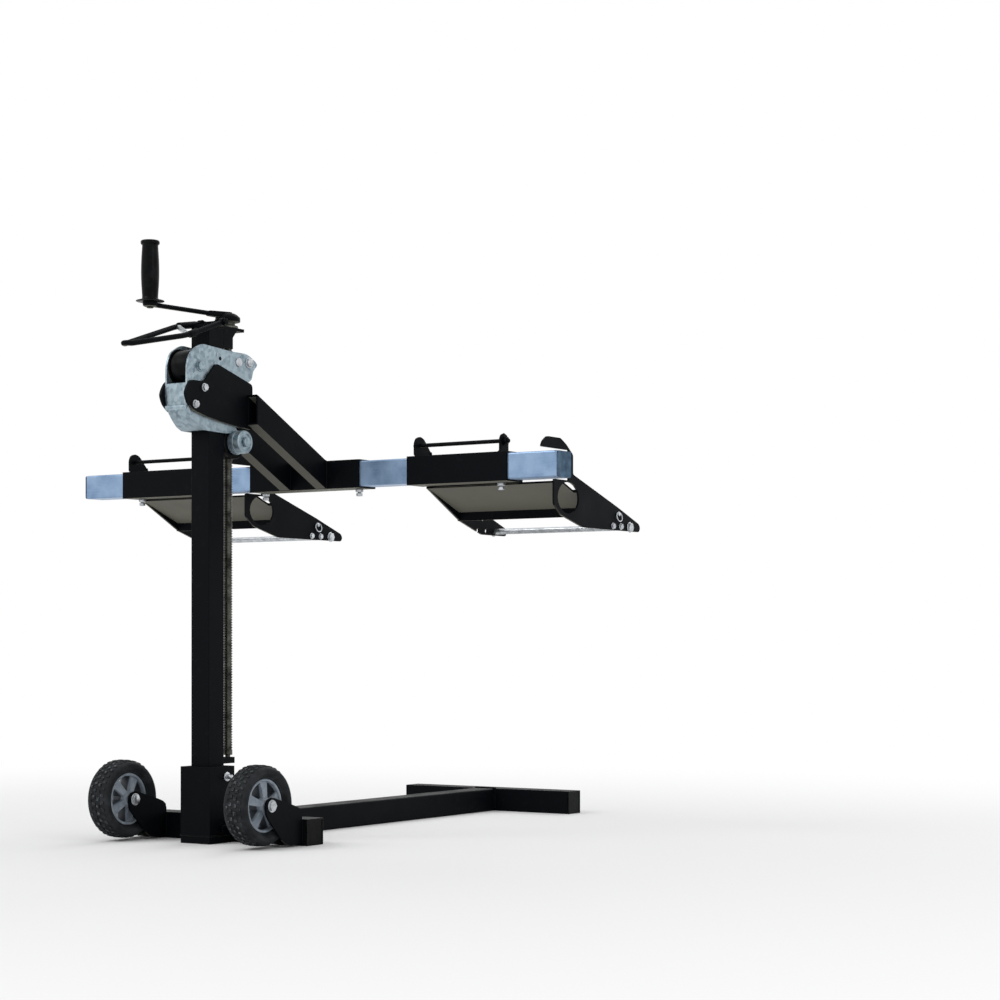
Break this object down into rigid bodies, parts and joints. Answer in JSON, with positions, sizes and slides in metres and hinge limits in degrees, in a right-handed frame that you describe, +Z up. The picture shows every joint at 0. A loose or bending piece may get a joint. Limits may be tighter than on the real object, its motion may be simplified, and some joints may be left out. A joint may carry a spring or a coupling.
{
  "type": "lawn mower lift",
  "caption": "Screw-driven mast lift with a hand crank, a roller carriage, a crossbar with sliding wheel pans and a wheeled T-shaped base.",
  "frame": {"origin": "on the floor, on the mast's vertical axis", "axes": "+Z up, +Y from the mast towards the mower, +X to the right when facing +Y"},
  "size_m": [1.2071, 1.2698, 1.1469],
  "materials": {
    "black_powder_coat": "satin black powder coat",
    "galvanised_sheet": "galvanised, light satin",
    "zinc_tube": "bright zinc plate, bluish",
    "bright_bolt": "bright zinc plate",
    "screw_steel": "oiled steel",
    "rubber": "matt rubber",
    "rim_plastic": "grey moulded plastic",
    "black_plastic": "black moulded plastic"
  },
  "bodies": {
    "stand": {"base_socket": "black_powder_coat", "socket_liner": "black_plastic", "mast_tube": "black_powder_coat", "base_bolt": "bright_bolt", "cross_tube": "black_powder_coat", "cross_tube_cap_left": "black_plastic", "cross_tube_cap_right": "black_plastic", "spine_tube": "black_powder_coat", "foot_crossbar": "black_powder_coat", "foot_cap_left": "black_plastic", "foot_cap_right": "black_plastic", "wheel_fork_left": "black_powder_coat", "wheel_fork_right": "black_powder_coat", "wheel_axle_left": "bright_bolt", "wheel_axle_right": "bright_bolt", "mast_head_bracket": "black_powder_coat", "head_bearing": "bright_bolt", "screw_foot_bearing": "black_powder_coat", "pull_handle": "black_powder_coat", "pull_handle_bolt": "bright_bolt", "pull_handle_spacer": "bright_bolt"},
    "lock_pin": {"mast_lock_pin": "bright_bolt"},
    "wheel_left": {"wheel_tyre_left": "rubber", "wheel_rim_left": "rim_plastic"},
    "wheel_right": {"wheel_tyre_right": "rubber", "wheel_rim_right": "rim_plastic"},
    "crank": {"lead_screw": "screw_steel", "crank_hub": "black_powder_coat", "crank_arm": "black_powder_coat", "crank_grip_spindle": "bright_bolt"},
    "grip": {"crank_grip": "black_plastic"},
    "lift": {"carriage_shell": "galvanised_sheet", "lift_nut": "bright_bolt", "front_spacer_bolt": "bright_bolt", "upper_roller_axle": "bright_bolt", "upper_arm_bolt": "bright_bolt", "lower_arm_bolt": "bright_bolt", "crossbar_tube": "zinc_tube", "centre_sleeve": "black_powder_coat", "lower_roller_axle_left": "bright_bolt", "lower_roller_axle_right": "bright_bolt", "arm_plate_left": "black_powder_coat", "arm_plate_right": "black_powder_coat", "lift_arm_left": "black_powder_coat", "lift_arm_right": "black_powder_coat", "sleeve_bolt_left": "bright_bolt", "sleeve_bolt_right": "bright_bolt"},
    "upper_roller": {"upper_roller": "black_plastic"},
    "lower_roller_left": {"lower_roller_left": "black_plastic"},
    "lower_roller_right": {"lower_roller_right": "black_plastic"},
    "pan_left": {"pan_sleeve_left": "black_powder_coat", "pan_tray_left": "black_powder_coat", "pan_top_rod_left": "black_powder_coat", "pan_front_rod_left": "bright_bolt", "pan_clamp_bolt_left": "bright_bolt"},
    "pan_right": {"pan_sleeve_right": "black_powder_coat", "pan_tray_right": "black_powder_coat", "pan_top_rod_right": "black_powder_coat", "pan_front_rod_right": "bright_bolt", "pan_clamp_bolt_right": "bright_bolt"}
  },
  "joints": [
    {"name": "lift_slide", "type": "slide", "parent": "stand", "child": "lift", "axis": [0, 0, 1], "range_m": [-0.57, 0.008]},
    {"name": "crank_spin", "type": "hinge", "parent": "stand", "child": "crank", "pos_m": [0, 0.06003, 1], "axis": [0, 0, 1], "continuous": true},
    {"name": "grip_spin", "type": "hinge", "parent": "crank", "child": "grip", "pos_m": [-0.04697, -0.11167, 1.08], "axis": [0, 0, 1], "continuous": true},
    {"name": "upper_roller_spin", "type": "hinge", "parent": "lift", "child": "upper_roller", "pos_m": [0, -0.05452, 0.91], "axis": [1, 0, 0], "continuous": true},
    {"name": "lower_roller_left_spin", "type": "hinge", "parent": "lift", "child": "lower_roller_left", "pos_m": [-0.0166, 0.05452, 0.773], "axis": [1, 0, 0], "continuous": true},
    {"name": "lower_roller_right_spin", "type": "hinge", "parent": "lift", "child": "lower_roller_right", "pos_m": [0.0166, 0.05452, 0.773], "axis": [1, 0, 0], "continuous": true},
    {"name": "left_pan_slide", "type": "slide", "parent": "lift", "child": "pan_left", "axis": [1, 0, 0], "range_m": [-0.1, 0.01]},
    {"name": "right_pan_slide", "type": "slide", "parent": "lift", "child": "pan_right", "axis": [1, 0, 0], "range_m": [-0.11, 0.1]},
    {"name": "lock_pin_pull", "type": "slide", "parent": "stand", "child": "lock_pin", "axis": [1, 0, 0], "range_m": [0, 0.09]},
    {"name": "wheel_left_spin", "type": "hinge", "parent": "stand", "child": "wheel_left", "pos_m": [-0.169, -0.055, 0.081], "axis": [1, 0, 0], "continuous": true},
    {"name": "wheel_right_spin", "type": "hinge", "parent": "stand", "child": "wheel_right", "pos_m": [0.169, -0.055, 0.081], "axis": [1, 0, 0], "continuous": true}
  ],
  "couplings": [
    {"joint": "crank_spin", "follows": "lift_slide", "rad_per_m": -1236.8},
    {"joint": "upper_roller_spin", "follows": "lift_slide", "rad_per_m": -31.25},
    {"joint": "lower_roller_left_spin", "follows": "lift_slide", "rad_per_m": 31.25},
    {"joint": "lower_roller_right_spin", "follows": "lift_slide", "rad_per_m": 31.25}
  ]
}
